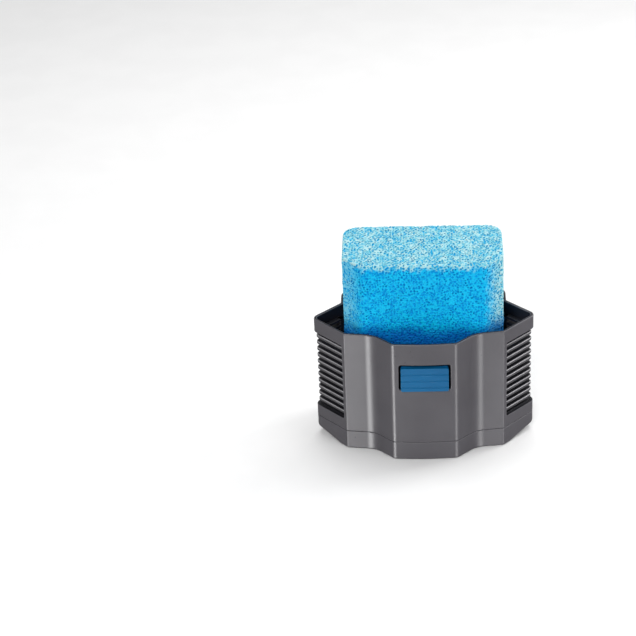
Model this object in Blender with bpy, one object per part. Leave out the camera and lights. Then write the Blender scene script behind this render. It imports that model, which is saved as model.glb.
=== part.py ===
"""Foam filter module: a louvred housing on a base tray, with a lift-out foam block and a release latch.

Units are metres, +Z is up and -Y is the front.  The origin is at the bottom centre of the whole
part.  Plan positions are worked out from the front line, the line through the two front corners of
the housing, and FRONT_Y places that line in the part's frame.
"""

import math

import bmesh
import bpy
from mathutils import Matrix, Vector

# --- Driving dimensions: housing plan -------------------------------------------------------
WIDTH = 0.1300            # between the outermost corners of the two side pods
FRONT_WIDTH = 0.0914      # between the front corners
POD_DEPTH = 0.0200        # from the front line back to the outermost corners
BULGE = 0.0142            # how far the wavy front stands forward of the front line
CREST_HALF = 0.0185       # half width of the nearly flat crest of the bulge
CROWN = 0.0012            # how far the middle of the crest stands forward of its edges
FLUTE_HALF = 0.0295       # half distance between the two hollows beside the bulge
FLUTE_RISE = 0.0022       # how far the hollows stand forward of the front line
FOAM_WIDTH = 0.0920
FOAM_DEPTH = 0.0495
WALL = 0.0018

# --- Driving dimensions: heights ------------------------------------------------------------
HEIGHT = 0.0770           # base to rim
BASE_HEIGHT = 0.0123      # base to parting line
RIM_BAND = 0.0084         # plain band above the louvres
LOWER_BAND = 0.0072       # plain band between the louvres and the parting line
FLOOR = 0.0022
WING_RISE = 0.0050        # rise of the base's underside out to the outermost corners

# --- Corner radii ---------------------------------------------------------------------------
CROWN_R = 0.120
CREST_R = 0.0050
FLUTE_R = 0.0140
FRONT_CORNER_R = 0.0012
OUTER_CORNER_R = 0.0045
WAIST_R = 0.0020
FOAM_BACK_R = 0.0100
FOAM_FRONT_R = 0.0015
BASE_EDGE_R = 0.0012
ARC_STEP = math.radians(11.0)
LEAST_R = 0.0003

# --- Clearances -----------------------------------------------------------------------------
FIT = 0.0003              # between pieces that touch
SLACK = 0.0010            # between pieces that pass each other

# --- Louvres --------------------------------------------------------------------------------
SLOTS = 12
SLAT = 0.0019
RECESS = 0.0012           # how far the slats stand back from the wall's outer face
LOUVRE_BACK = 0.0050      # inner face of the louvre panel, from the wall's outer face
LOUVRE_LAP = 0.0015       # how far the panel's border reaches behind the wall
WINDOW_FRONT_TRIM = 0.0022
WINDOW_REAR_TRIM = 0.0045

# --- Foam -----------------------------------------------------------------------------------
FOAM_HEIGHT = 0.0576
FOAM_RAISE = 0.0460       # how far the foam stands above its seat
FOAM_CHAMFER = 0.0110

# --- Grate, guides and clips ----------------------------------------------------------------
GRATE_THICK = 0.0022
GRATE_TOP = 0.0157
GRATE_COLUMNS = 8
GRATE_ROWS = 4
GRATE_BAR = 0.0024
GRATE_BORDER = 0.0040
LEG = 0.0050
GUIDE_THICK = 0.0024
GUIDE_LENGTH = 0.0040
GUIDE_TOP = 0.0540
LIP_TOP = 0.0155
LIP_THICK = 0.0012
LIP_ROOT = 0.0080
CLIP_WIDTH = 0.0060
CLIP_THICK = 0.0012

# --- Release button and latch ---------------------------------------------------------------
BUTTON_WIDTH = 0.0273
BUTTON_HEIGHT = 0.0141
BUTTON_DROP = 0.0156      # rim down to the button's top edge
BUTTON_PROUD = 0.0012     # the bottom edge's stand above the crest
BUTTON_LEAN = 0.0018      # how much further back the top edge lies
BUTTON_GROOVES = 3
GROOVE_FIRST = 0.0024     # the button's bottom edge up to its lowest groove
GROOVE_PITCH = 0.0039
GROOVE_WIDTH = 0.0010
GROOVE_DEPTH = 0.0006
BUTTON_BACK = 0.0042      # the button's back, behind the crest of the bulge
GAP_SIDE = 0.0012
GAP_TOP = 0.0024
LEVER_THICK = 0.0018
LEVER_WIDTH = 0.0220
LEVER_FOOT = 0.0020       # how far the lever reaches below its pin
HOOK_WIDTH = 0.0160
HOOK_DROP = 0.0035        # rim down to the hook's top
HOOK_HEIGHT = 0.0025
PIN_R = 0.0012
EYE_R = 0.0028
EYE_WIDTH = 0.0036
EAR_THICK = 0.0020
BRACKET_THICK = 0.0015
BRACKET_WIDTH = 0.0320
BRACKET_TOP_DROP = 0.0110
SCREW_R = 0.0010
SCREW_HEAD_R = 0.0021
SCREW_HEAD = 0.0012
SCREW_HALF = 0.0120
BOSS_R = 0.0030
BOSS_BELOW_PIN = 0.0085
COIL_WIRE_R = 0.0004
COIL_TURNS = 4.5
COIL_PITCH = 0.0012
COIL_LEG = 0.0075
COIL_SIDES = 12
ROUND_SIDES = 24

# --- Derived --------------------------------------------------------------------------------
SLOT_ZONE = HEIGHT - BASE_HEIGHT - RIM_BAND - LOWER_BAND
SLOT = (SLOT_ZONE - (SLOTS - 1) * SLAT) / SLOTS
ZONE_BOTTOM = BASE_HEIGHT + LOWER_BAND
CHAMBER_HALF = FOAM_WIDTH / 2 + FIT
WAIST_HALF = CHAMBER_HALF + WALL
WAIST_Y = POD_DEPTH + WIDTH / 2 - WAIST_HALF
WING_START = WAIST_HALF + SLACK
WING_SLOPE = WING_RISE / (WIDTH / 2 - WING_START)
FOAM_FRONT_Y = WALL + FIT
FOAM_BACK_Y = FOAM_FRONT_Y + FOAM_DEPTH
REAR_Y = FOAM_BACK_Y + FIT + WALL
FRONT_Y = (BULGE + BUTTON_PROUD - REAR_Y) / 2
FOAM_SEAT_Z = GRATE_TOP + FIT
LIP_OUTSIDE = WALL + FIT
PIN_Z = HEIGHT - BUTTON_DROP - BUTTON_HEIGHT
LEVER_FRONT_Y = -BULGE + BUTTON_BACK + FIT
LEVER_BACK_Y = LEVER_FRONT_Y + LEVER_THICK
COIL_R = PIN_R + 2 * FIT + COIL_WIRE_R
PIN_Y = LEVER_BACK_Y + FIT + COIL_WIRE_R + COIL_R
BRACKET_Y = -SCREW_HEAD - FIT - BRACKET_THICK + FOAM_FRONT_Y - SLACK
EAR_INSIDE = LEVER_WIDTH / 2 + FIT


def collection(name, hidden=False):
    """Return a new collection linked to the scene."""
    group = bpy.data.collections.new(name)
    bpy.context.scene.collection.children.link(group)
    group.hide_render = hidden
    return group


def material(name, colour, roughness, metallic=0.0):
    """Return a Principled material."""
    made = bpy.data.materials.new(name)
    made.use_nodes = True
    shader = made.node_tree.nodes["Principled BSDF"]
    shader.inputs["Base Color"].default_value = (*colour, 1.0)
    shader.inputs["Roughness"].default_value = roughness
    shader.inputs["Metallic"].default_value = metallic
    return made


# --- Outlines -------------------------------------------------------------------------------

def turn(before, here, after):
    """Return the signed turning angle at a corner of a path."""
    a = here - before
    b = after - here
    return math.atan2(a.cross(b), a.dot(b))


def inset_corner(before, here, after, distance):
    """Return the corner moved so that both its edges shift left by a distance."""
    a = (here - before).normalized()
    b = (after - here).normalized()
    middle = Vector((-a.y - b.y, a.x + b.x)).normalized()
    return here + middle * (distance / middle.dot(Vector((-a.y, a.x))))


def rounded(before, here, after, radius):
    """Return the points of an arc that rounds one corner."""
    angle = turn(before, here, after)
    if abs(angle) < 1e-4:
        return [here]
    room = 0.49 * min((here - before).length, (after - here).length)
    reach = min(radius * math.tan(abs(angle) / 2), room)
    radius = reach / math.tan(abs(angle) / 2)
    a = (here - before).normalized()
    start = here - a * reach
    side = Vector((-a.y, a.x)) * math.copysign(1.0, angle)
    centre = start + side * radius
    steps = max(2, math.ceil(abs(angle) / ARC_STEP))
    return [centre + Matrix.Rotation(angle * k / steps, 2) @ (start - centre) for k in range(steps + 1)]


def closed_outline(corners, inset=0.0):
    """Return the points of a closed, anticlockwise outline from its corners and their radii."""
    count = len(corners)
    places = [Vector((x, y)) for x, y, _ in corners]
    moved = [inset_corner(places[i - 1], places[i], places[(i + 1) % count], inset) for i in range(count)]
    points = []
    for i in range(count):
        bend = turn(places[i - 1], places[i], places[(i + 1) % count])
        radius = max(corners[i][2] - math.copysign(inset, bend), LEAST_R)
        points += rounded(moved[i - 1], moved[i], moved[(i + 1) % count], radius)
    return points


def mirrored(half):
    """Return a whole closed outline from the corners of its right half, front to back."""
    left = [(-x, y, r) for x, y, r in reversed(half) if x > 0]
    return half + left


def housing_outline(inset=0.0):
    """Return the housing's plan outline, moved inward by an inset."""
    return closed_outline(mirrored([
        (0.0, -BULGE, CROWN_R),
        (CREST_HALF, -BULGE + CROWN, CREST_R),
        (FLUTE_HALF, -FLUTE_RISE, FLUTE_R),
        (FRONT_WIDTH / 2, 0.0, FRONT_CORNER_R),
        (WIDTH / 2, POD_DEPTH, OUTER_CORNER_R),
        (WAIST_HALF, WAIST_Y, WAIST_R),
        (WAIST_HALF, REAR_Y, FOAM_BACK_R + FIT + WALL),
    ]), inset)


def foam_outline(inset=0.0):
    """Return the foam block's plan outline, moved inward by an inset."""
    half = FOAM_WIDTH / 2
    return closed_outline(mirrored([
        (half - FOAM_CHAMFER, FOAM_FRONT_Y, FOAM_FRONT_R),
        (half, FOAM_FRONT_Y + FOAM_CHAMFER, FOAM_FRONT_R),
        (half, FOAM_BACK_Y, FOAM_BACK_R),
    ]), inset)


def pod_path(inset, front_trim, rear_trim):
    """Return the line along the right pod's two walls at an inset, trimmed at both ends."""
    front = Vector((FRONT_WIDTH / 2, 0.0))
    tip = Vector((WIDTH / 2, POD_DEPTH))
    waist = Vector((WAIST_HALF, WAIST_Y))
    along = (tip - front).normalized()
    back = (waist - tip).normalized()
    start = front + along * front_trim + Vector((-along.y, along.x)) * inset
    end = waist - back * rear_trim + Vector((-back.y, back.x)) * inset
    corner = inset_corner(front, tip, waist, inset)
    return [start, *rounded(start, corner, end, max(OUTER_CORNER_R - inset, LEAST_R)), end]


def pod_band(side, outer, inner, front_trim, rear_trim):
    """Return a closed outline of the strip along a pod's walls between two insets."""
    path = pod_path(outer, front_trim, rear_trim) + pod_path(inner, front_trim, rear_trim)[::-1]
    if side < 0:
        path = [Vector((-p.x, p.y)) for p in reversed(path)]
    return path


# --- Solids ---------------------------------------------------------------------------------

def finish(mesh_bm, name, group, look):
    """Make a named object from a bmesh, with its faces pointing outward."""
    bmesh.ops.recalc_face_normals(mesh_bm, faces=mesh_bm.faces)
    mesh = bpy.data.meshes.new(name)
    mesh_bm.to_mesh(mesh)
    mesh_bm.free()
    if look:
        mesh.materials.append(look)
    made = bpy.data.objects.new(name, mesh)
    group.objects.link(made)
    if group.hide_render:
        made.hide_render = True
        made.display_type = "WIRE"
    return made


def add_prism(bm, points, low, high):
    """Add an upright prism over a plan outline."""
    verts = [bm.verts.new((p.x, p.y + FRONT_Y, low)) for p in points]
    base = bm.faces.new(verts)
    raised = bmesh.ops.extrude_face_region(bm, geom=[base], use_keep_orig=True)
    top = [v for v in raised["geom"] if isinstance(v, bmesh.types.BMVert)]
    bmesh.ops.translate(bm, verts=top, vec=(0.0, 0.0, high - low))


def prism(name, points, low, high, group, look=None):
    """Return an upright prism over a plan outline."""
    bm = bmesh.new()
    add_prism(bm, points, low, high)
    return finish(bm, name, group, look)


def box(name, low, high, group, look=None):
    """Return a box between two corners, with Y measured from the front line."""
    bm = bmesh.new()
    add_box(bm, low, high)
    return finish(bm, name, group, look)


def add_box(bm, low, high):
    """Add a box between two corners, with Y measured from the front line."""
    size = [b - a for a, b in zip(low, high)]
    middle = [(a + b) / 2 for a, b in zip(low, high)]
    place = Matrix.Translation((middle[0], middle[1] + FRONT_Y, middle[2]))
    bmesh.ops.create_cube(bm, size=1.0, matrix=place @ Matrix.Diagonal((*size, 1.0)))


def rod(name, axis, centre, radius, length, group, look=None):
    """Return a cylinder along X or Y with its middle at a centre."""
    bm = bmesh.new()
    add_rod(bm, axis, centre, radius, length)
    return finish(bm, name, group, look)


def add_rod(bm, axis, centre, radius, length):
    """Add a cylinder along X or Y with its middle at a centre."""
    turned = Matrix.Rotation(math.pi / 2, 4, "Y" if axis == "X" else "X")
    place = Matrix.Translation((centre[0], centre[1] + FRONT_Y, centre[2])) @ turned
    bmesh.ops.create_cone(bm, cap_ends=True, segments=ROUND_SIDES, radius1=radius, radius2=radius,
                          depth=length, matrix=place)


def combine(target, other, operation):
    """Join another object to the target, or cut it out of the target."""
    modifier = target.modifiers.new(other.name, "BOOLEAN")
    modifier.operation = operation
    modifier.solver = "EXACT"
    modifier.object = other


def hinge_origin(made):
    """Move an object's origin onto the latch pin's axis without moving its shape."""
    pivot = Vector((0.0, PIN_Y + FRONT_Y, PIN_Z))
    made.data.transform(Matrix.Translation(-pivot))
    made.location = pivot


# --- Housing --------------------------------------------------------------------------------

def button_opening():
    """Return the low and high corners of the opening in the front wall for the button."""
    top = HEIGHT - BUTTON_DROP
    half = BUTTON_WIDTH / 2 + GAP_SIDE
    return ((-half, -BULGE - WALL, top - BUTTON_HEIGHT - FIT),
            (half, -BULGE + CROWN + 2 * WALL, top + GAP_TOP))


def make_housing(parts, cutters, look):
    """Make the housing shell: one thin wall all round, with a window in each pod."""
    floor = BASE_HEIGHT
    shell = prism("housing_shell", housing_outline(), floor, HEIGHT, parts, look)
    inside = prism("cut_chamber", housing_outline(WALL), floor - SLACK, HEIGHT + SLACK, cutters)
    combine(shell, inside, "DIFFERENCE")

    bosses = bmesh.new()
    boss_front = -BULGE + WALL / 2
    boss_back = BRACKET_Y - FIT
    for sign in (-1, 1):
        middle = (sign * SCREW_HALF, (boss_front + boss_back) / 2, PIN_Z - BOSS_BELOW_PIN)
        add_rod(bosses, "Y", middle, BOSS_R, boss_back - boss_front)
    combine(shell, finish(bosses, "add_bosses", cutters, None), "UNION")

    holes = bmesh.new()
    depth = boss_back - boss_front - WALL
    for sign in (-1, 1):
        middle = (sign * SCREW_HALF, boss_back - depth / 2 + SLACK, PIN_Z - BOSS_BELOW_PIN)
        add_rod(holes, "Y", middle, SCREW_R + FIT, depth)
    combine(shell, finish(holes, "cut_boss_holes", cutters, None), "DIFFERENCE")

    openings = bmesh.new()
    for side in (-1, 1):
        band = pod_band(side, -SLACK, WALL + SLACK, WINDOW_FRONT_TRIM, WINDOW_REAR_TRIM)
        add_prism(openings, band, ZONE_BOTTOM, ZONE_BOTTOM + SLOT_ZONE)
    add_box(openings, *button_opening())
    combine(shell, finish(openings, "cut_windows", cutters, None), "DIFFERENCE")


def make_louvre(name, side, parts, cutters, look):
    """Make one wrap-round louvre panel, which laps behind its window and has slats set in it."""
    low = ZONE_BOTTOM
    high = ZONE_BOTTOM + SLOT_ZONE
    border = pod_band(side, WALL + FIT, LOUVRE_BACK, WINDOW_FRONT_TRIM - LOUVRE_LAP,
                      WINDOW_REAR_TRIM - LOUVRE_LAP)
    panel = prism(name, border, low - LOUVRE_LAP, high + LOUVRE_LAP, parts, look)
    face = pod_band(side, RECESS, LOUVRE_BACK - FIT, WINDOW_FRONT_TRIM + FIT, WINDOW_REAR_TRIM + FIT)
    combine(panel, prism("add_" + name, face, low + FIT, high - FIT, cutters), "UNION")

    slots = bmesh.new()
    cut = pod_band(side, 0.0, LOUVRE_BACK + SLACK, WINDOW_FRONT_TRIM, WINDOW_REAR_TRIM)
    for k in range(SLOTS):
        start = low + k * (SLOT + SLAT)
        add_prism(slots, cut, start, start + SLOT)
    combine(panel, finish(slots, "cut_" + name, cutters, None), "DIFFERENCE")


# --- Base tray, grate, guides and clips -----------------------------------------------------

def floor_over_wing(x):
    """Return the height of the tray's floor at a distance from the middle."""
    return FLOOR + WING_SLOPE * max(0.0, x - WING_START)


def wing_wedge(name, lift, group):
    """Return the two wedges under the tray's wings, raised by a lift."""
    bm = bmesh.new()
    past = WIDTH
    for sign in (-1, 1):
        profile = [(WING_START, lift), (WING_START + past, lift + WING_SLOPE * past),
                   (WING_START + past, -past), (WING_START, -past)]
        verts = [bm.verts.new((sign * x, -past, z)) for x, z in profile]
        end = bm.faces.new(verts)
        swept = bmesh.ops.extrude_face_region(bm, geom=[end], use_keep_orig=True)
        moved = [v for v in swept["geom"] if isinstance(v, bmesh.types.BMVert)]
        bmesh.ops.translate(bm, verts=moved, vec=(0.0, 2 * past, 0.0))
    return finish(bm, name, group, None)


def make_tray(parts, cutters, look):
    """Make the base tray: a shallow pan with a locating lip that stands inside the housing."""
    bm = bmesh.new()
    add_prism(bm, housing_outline(), 0.0, BASE_HEIGHT - FIT)
    lower = [e for e in bm.edges if max(v.co.z for v in e.verts) < FIT]
    bmesh.ops.bevel(bm, geom=lower, offset=BASE_EDGE_R, segments=2, profile=0.5, affect="EDGES",
                    clamp_overlap=True)
    tray = finish(bm, "base_tray", parts, look)
    combine(tray, wing_wedge("cut_wings", -FIT, cutters), "DIFFERENCE")

    lip = prism("add_lip", housing_outline(LIP_OUTSIDE), LIP_ROOT, LIP_TOP, cutters)
    combine(tray, lip, "UNION")
    hollow = prism("cut_pan", housing_outline(LIP_OUTSIDE + LIP_THICK), FLOOR, LIP_TOP + SLACK, cutters)
    combine(hollow, wing_wedge("cut_pan_wings", FLOOR - FIT, cutters), "DIFFERENCE")
    combine(tray, hollow, "DIFFERENCE")


def make_grate(parts, cutters, look):
    """Make the grate that the foam sits on, with four legs that stand in the tray."""
    edge = LIP_THICK + FIT
    grate = prism("foam_support_grate", foam_outline(edge), GRATE_TOP - GRATE_THICK, GRATE_TOP, parts, look)

    legs = bmesh.new()
    inset = GRATE_BORDER + FOAM_BACK_R
    for x in (-1, 1):
        for y in (FOAM_FRONT_Y + inset, FOAM_BACK_Y - inset):
            x_leg = x * (FOAM_WIDTH / 2 - inset)
            add_box(legs, (x_leg - LEG / 2, y - LEG / 2, FLOOR + FIT),
                    (x_leg + LEG / 2, y + LEG / 2, GRATE_TOP - GRATE_THICK / 2))
    combine(grate, finish(legs, "add_legs", cutters, None), "UNION")

    holes = bmesh.new()
    width = FOAM_WIDTH - 2 * (FOAM_CHAMFER + SLACK)
    depth = FOAM_DEPTH - 2 * GRATE_BORDER
    hole_w = (width - (GRATE_COLUMNS - 1) * GRATE_BAR) / GRATE_COLUMNS
    hole_d = (depth - (GRATE_ROWS - 1) * GRATE_BAR) / GRATE_ROWS
    for i in range(GRATE_COLUMNS):
        x = -width / 2 + i * (hole_w + GRATE_BAR)
        for j in range(GRATE_ROWS):
            y = FOAM_FRONT_Y + GRATE_BORDER + j * (hole_d + GRATE_BAR)
            if i in (1, GRATE_COLUMNS - 2) and j in (1, GRATE_ROWS - 2):
                continue
            add_box(holes, (x, y, GRATE_TOP - GRATE_THICK - SLACK), (x + hole_w, y + hole_d, GRATE_TOP + SLACK))
    combine(grate, finish(holes, "cut_grate", cutters, None), "DIFFERENCE")


def make_guides(parts, look):
    """Make the four posts that keep the foam out of the side pods."""
    near = CHAMBER_HALF + SLACK
    foot = floor_over_wing(near + GUIDE_THICK) + FIT
    rear_limit = WIDTH / 2 + POD_DEPTH - LOUVRE_BACK * math.sqrt(2) - near - GUIDE_THICK
    places = {"front": FOAM_FRONT_Y + FOAM_CHAMFER, "rear": rear_limit - GUIDE_LENGTH - SLACK}
    for where, y in places.items():
        for side, sign in (("left", -1), ("right", 1)):
            ends = sorted((sign * near, sign * (near + GUIDE_THICK)))
            box(f"foam_guide_{where}_{side}", (ends[0], y, foot), (ends[1], y + GUIDE_LENGTH, GUIDE_TOP),
                parts, look)


def make_clips(parts, look):
    """Make the four snap clips that hook over the tray's lip inside the pods."""
    front = Vector((FRONT_WIDTH / 2, 0.0))
    tip = Vector((WIDTH / 2, POD_DEPTH))
    waist = Vector((WAIST_HALF, WAIST_Y))
    inner = LIP_OUTSIDE + LIP_THICK + FIT
    barb_top = ZONE_BOTTOM - LOUVRE_LAP - FIT
    for where, a, b in (("front", front, tip), ("rear", tip, waist)):
        along = (b - a).normalized()
        inward = Vector((-along.y, along.x))
        middle = (a + b) / 2
        outer_x = (middle + along * CLIP_WIDTH / 2).x if where == "front" else (middle - along * CLIP_WIDTH / 2).x
        foot = floor_over_wing(outer_x) + SLACK
        for side, sign in (("left", -1), ("right", 1)):
            bm = bmesh.new()
            profile = [(inner, foot), (inner + CLIP_THICK, foot), (inner + CLIP_THICK, barb_top),
                       (LIP_OUTSIDE, barb_top), (LIP_OUTSIDE, LIP_TOP + FIT), (inner, LIP_TOP + FIT)]
            start = middle - along * CLIP_WIDTH / 2
            verts = []
            for reach, z in profile:
                p = start + inward * reach
                verts.append(bm.verts.new((sign * p.x, p.y + FRONT_Y, z)))
            swept = bmesh.ops.extrude_face_region(bm, geom=[bm.faces.new(verts)], use_keep_orig=True)
            moved = [v for v in swept["geom"] if isinstance(v, bmesh.types.BMVert)]
            run = along * CLIP_WIDTH
            bmesh.ops.translate(bm, verts=moved, vec=(sign * run.x, run.y, 0.0))
            finish(bm, f"tray_clip_{where}_{side}", parts, look)


# --- Foam -----------------------------------------------------------------------------------

def make_foam(parts, look):
    """Make the foam block at its raised position."""
    low = FOAM_SEAT_Z + FOAM_RAISE
    prism("filter_foam", foam_outline(), low, low + FOAM_HEIGHT, parts, look)


# --- Latch ----------------------------------------------------------------------------------

def make_button(parts, cutters, look):
    """Make the grooved release button, leaning back toward its top edge."""
    top = HEIGHT - BUTTON_DROP
    bottom = top - BUTTON_HEIGHT
    front = -BULGE - BUTTON_PROUD
    back = -BULGE + BUTTON_BACK
    half = BUTTON_WIDTH / 2
    bm = bmesh.new()
    profile = [(front, bottom), (back, bottom), (back, top), (front + BUTTON_LEAN, top)]
    verts = [bm.verts.new((-half, y + FRONT_Y, z)) for y, z in profile]
    swept = bmesh.ops.extrude_face_region(bm, geom=[bm.faces.new(verts)], use_keep_orig=True)
    moved = [v for v in swept["geom"] if isinstance(v, bmesh.types.BMVert)]
    bmesh.ops.translate(bm, verts=moved, vec=(BUTTON_WIDTH, 0.0, 0.0))
    corners = [e for e in bm.edges if abs(e.verts[0].co.x) == abs(e.verts[1].co.x)
               and e.verts[0].co.z == e.verts[1].co.z]
    corners = [e for e in corners if abs(e.verts[0].co.x - e.verts[1].co.x) < FIT]
    bmesh.ops.bevel(bm, geom=corners, offset=SLACK, segments=3, profile=0.5, affect="EDGES")
    button = finish(bm, "release_button", parts, look)

    grooves = bmesh.new()
    lean = math.atan2(BUTTON_LEAN, BUTTON_HEIGHT)
    for k in range(BUTTON_GROOVES):
        up = GROOVE_FIRST + k * GROOVE_PITCH
        y = front + BUTTON_LEAN * up / BUTTON_HEIGHT
        place = (Matrix.Translation((0.0, y + FRONT_Y, bottom + up)) @ Matrix.Rotation(-lean, 4, "X")
                 @ Matrix.Diagonal((BUTTON_WIDTH + 2 * SLACK, 2 * GROOVE_DEPTH, GROOVE_WIDTH, 1.0)))
        bmesh.ops.create_cube(grooves, size=1.0, matrix=place)
    cutter = finish(grooves, "cut_grooves", cutters, None)
    combine(button, cutter, "DIFFERENCE")
    hinge_origin(button)


def make_lever(parts, cutters, look):
    """Make the latch lever: a plate behind the button with a hook on top and two eyes on the pin."""
    half = LEVER_WIDTH / 2
    hook_top = HEIGHT - HOOK_DROP
    lever = box("latch_lever", (-half, LEVER_FRONT_Y, PIN_Z - LEVER_FOOT), (half, LEVER_BACK_Y, hook_top),
                parts, look)
    extras = bmesh.new()
    hook_front = -BULGE + WALL + CROWN * HOOK_WIDTH / 2 / CREST_HALF + FIT
    add_box(extras, (-HOOK_WIDTH / 2, hook_front, hook_top - HOOK_HEIGHT),
            (HOOK_WIDTH / 2, LEVER_BACK_Y - FIT, hook_top - FIT))
    for sign in (-1, 1):
        middle = sign * (half - EYE_WIDTH / 2 - FIT)
        add_rod(extras, "X", (middle, PIN_Y, PIN_Z), EYE_R, EYE_WIDTH)
    combine(lever, finish(extras, "add_lever", cutters, None), "UNION")
    necks = bmesh.new()
    for sign in (-1, 1):
        ends = sorted((sign * (half - FIT), sign * (half - FIT - EYE_WIDTH)))
        add_box(necks, (ends[0], LEVER_BACK_Y - FIT, PIN_Z - LEVER_FOOT / 2), (ends[1], PIN_Y, PIN_Z + EYE_R))
    combine(lever, finish(necks, "add_necks", cutters, None), "UNION")
    bore = rod("cut_lever_bore", "X", (0.0, PIN_Y, PIN_Z), PIN_R + FIT, WIDTH, cutters)
    combine(lever, bore, "DIFFERENCE")
    hinge_origin(lever)


def make_bracket(parts, cutters, look):
    """Make the bracket behind the lever, with two ears that carry the pin."""
    half = BRACKET_WIDTH / 2
    low = PIN_Z - BOSS_BELOW_PIN - BOSS_R
    bracket = box("latch_bracket", (-half, BRACKET_Y, low),
                  (half, BRACKET_Y + BRACKET_THICK, HEIGHT - BRACKET_TOP_DROP), parts, look)
    ears = bmesh.new()
    for sign in (-1, 1):
        ends = sorted((sign * EAR_INSIDE, sign * (EAR_INSIDE + EAR_THICK)))
        add_box(ears, (ends[0], PIN_Y - EYE_R, PIN_Z - EYE_R), (ends[1], BRACKET_Y + FIT, PIN_Z + EYE_R))
    combine(bracket, finish(ears, "add_ears", cutters, None), "UNION")
    holes = bmesh.new()
    add_rod(holes, "X", (0.0, PIN_Y, PIN_Z), PIN_R + FIT, WIDTH)
    for sign in (-1, 1):
        add_rod(holes, "Y", (sign * SCREW_HALF, BRACKET_Y, PIN_Z - BOSS_BELOW_PIN), SCREW_R + FIT,
                4 * BRACKET_THICK)
    combine(bracket, finish(holes, "cut_bracket", cutters, None), "DIFFERENCE")


def make_pin(parts, look):
    """Make the pin that the lever turns on."""
    rod("latch_pin", "X", (0.0, PIN_Y, PIN_Z), PIN_R, 2 * (EAR_INSIDE + EAR_THICK), parts, look)


def make_screws(parts, look):
    """Make the two screws that hold the bracket to the housing's bosses."""
    head_y = BRACKET_Y + BRACKET_THICK + FIT
    shank = -BULGE + WALL / 2 + 2 * WALL
    for side, sign in (("left", -1), ("right", 1)):
        bm = bmesh.new()
        profile = [(0.0, shank), (SCREW_R, shank), (SCREW_R, head_y), (SCREW_HEAD_R, head_y),
                   (SCREW_HEAD_R, head_y + SCREW_HEAD), (0.0, head_y + SCREW_HEAD)]
        centre = Vector((sign * SCREW_HALF, FRONT_Y, PIN_Z - BOSS_BELOW_PIN))
        verts = [bm.verts.new(centre + Vector((x, y, 0.0))) for x, y in profile]
        edges = [bm.edges.new(pair) for pair in zip(verts, verts[1:])]
        bmesh.ops.spin(bm, geom=verts + edges, cent=centre, axis=(0.0, 1.0, 0.0), angle=2 * math.pi,
                       steps=ROUND_SIDES // 2, use_merge=True)
        bmesh.ops.remove_doubles(bm, verts=bm.verts, dist=1e-6)
        finish(bm, f"bracket_screw_{side}", parts, look)


def make_spring(parts, look):
    """Make the torsion spring round the pin, one leg up the lever and one toward the bracket."""
    steps = round(COIL_TURNS * COIL_SIDES)
    start = -COIL_TURNS * COIL_PITCH / 2
    points = []
    for k in range(steps + 1):
        angle = math.pi + 2 * math.pi * k / COIL_SIDES
        points.append(Vector((start + COIL_PITCH * k / COIL_SIDES, COIL_R * math.cos(angle),
                              COIL_R * math.sin(angle))))
    points.insert(0, Vector((start, -COIL_R, COIL_LEG)))
    points.append(points[-1] + Vector((0.0, 0.0, -COIL_LEG / 2)))
    curve = bpy.data.curves.new("latch_spring", "CURVE")
    curve.dimensions = "3D"
    curve.bevel_depth = COIL_WIRE_R
    curve.bevel_resolution = 1
    curve.use_fill_caps = True
    spline = curve.splines.new("POLY")
    spline.points.add(len(points) - 1)
    for point, place in zip(spline.points, points):
        point.co = (*place, 1.0)
    curve.materials.append(look)
    spring = bpy.data.objects.new("latch_spring", curve)
    spring.location = (0.0, PIN_Y + FRONT_Y, PIN_Z)
    parts.objects.link(spring)


def main():
    """Build every sub-part."""
    for old in list(bpy.data.objects):
        bpy.data.objects.remove(old, do_unlink=True)
    parts = collection("sponge_filter")
    cutters = collection("cutters", hidden=True)

    shell = material("satin_grey_plastic", (0.115, 0.112, 0.122), 0.42)
    dark = material("dark_grey_plastic", (0.040, 0.040, 0.046), 0.50)
    blue = material("blue_button_plastic", (0.010, 0.105, 0.270), 0.38)
    foam = material("blue_foam", (0.020, 0.360, 0.720), 0.90)
    steel = material("stainless_steel", (0.560, 0.560, 0.570), 0.30, 1.0)

    make_housing(parts, cutters, shell)
    make_louvre("louvre_panel_left", -1, parts, cutters, shell)
    make_louvre("louvre_panel_right", 1, parts, cutters, shell)
    make_tray(parts, cutters, shell)
    make_grate(parts, cutters, dark)
    make_guides(parts, dark)
    make_clips(parts, dark)
    make_foam(parts, foam)
    make_button(parts, cutters, blue)
    make_lever(parts, cutters, dark)
    make_bracket(parts, cutters, dark)
    make_pin(parts, steel)
    make_screws(parts, steel)
    make_spring(parts, steel)


main()
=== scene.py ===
"""Looks of the louvred foam filter module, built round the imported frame.

The frame supplies the sizes, places and joints.  Each sub-assembly below is a class that holds its
own sizes in metres, builds its meshes with bmesh operators and dresses them in a finish.
"""

import logging
import math
from dataclasses import dataclass
from enum import Enum

import bmesh
import bpy
import numpy as np
import openvdb
from mathutils import Matrix, Vector

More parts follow.
